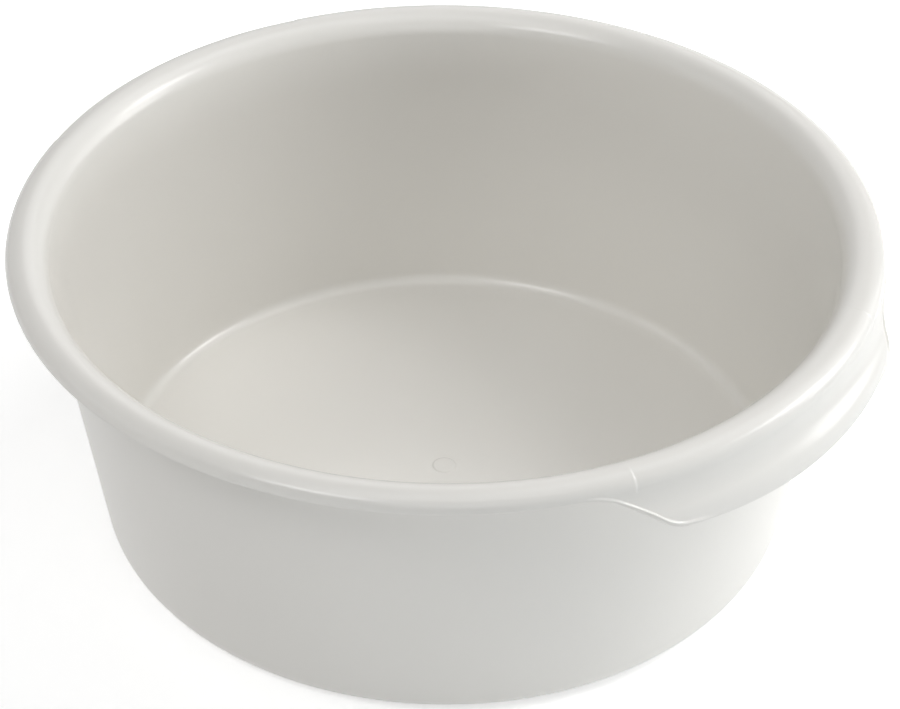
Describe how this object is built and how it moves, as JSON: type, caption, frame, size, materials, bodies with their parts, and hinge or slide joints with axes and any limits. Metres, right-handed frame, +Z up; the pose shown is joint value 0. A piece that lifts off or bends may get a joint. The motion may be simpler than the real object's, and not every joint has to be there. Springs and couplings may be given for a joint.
{
  "type": "washing up bowl",
  "caption": "Round open bowl with a leaning wall, rolled rim and flared finger grips, standing on a foot ring, for holding water and dishes in a sink.",
  "frame": {"origin": "on the ground under the bowl's axis", "axes": "+Z up along the bowl's axis, +X through the middle of one grip, -Y towards the front"},
  "size_m": [0.3446, 0.33, 0.1264],
  "materials": {
    "bowl_plastic": "satin moulded polypropylene, pale warm grey"
  },
  "bodies": {
    "root": {"floor": "bowl_plastic", "foot_ring": "bowl_plastic", "side_wall": "bowl_plastic", "rim_front": "bowl_plastic", "rim_back": "bowl_plastic", "grip_right": "bowl_plastic", "grip_left": "bowl_plastic"}
  },
  "joints": []
}
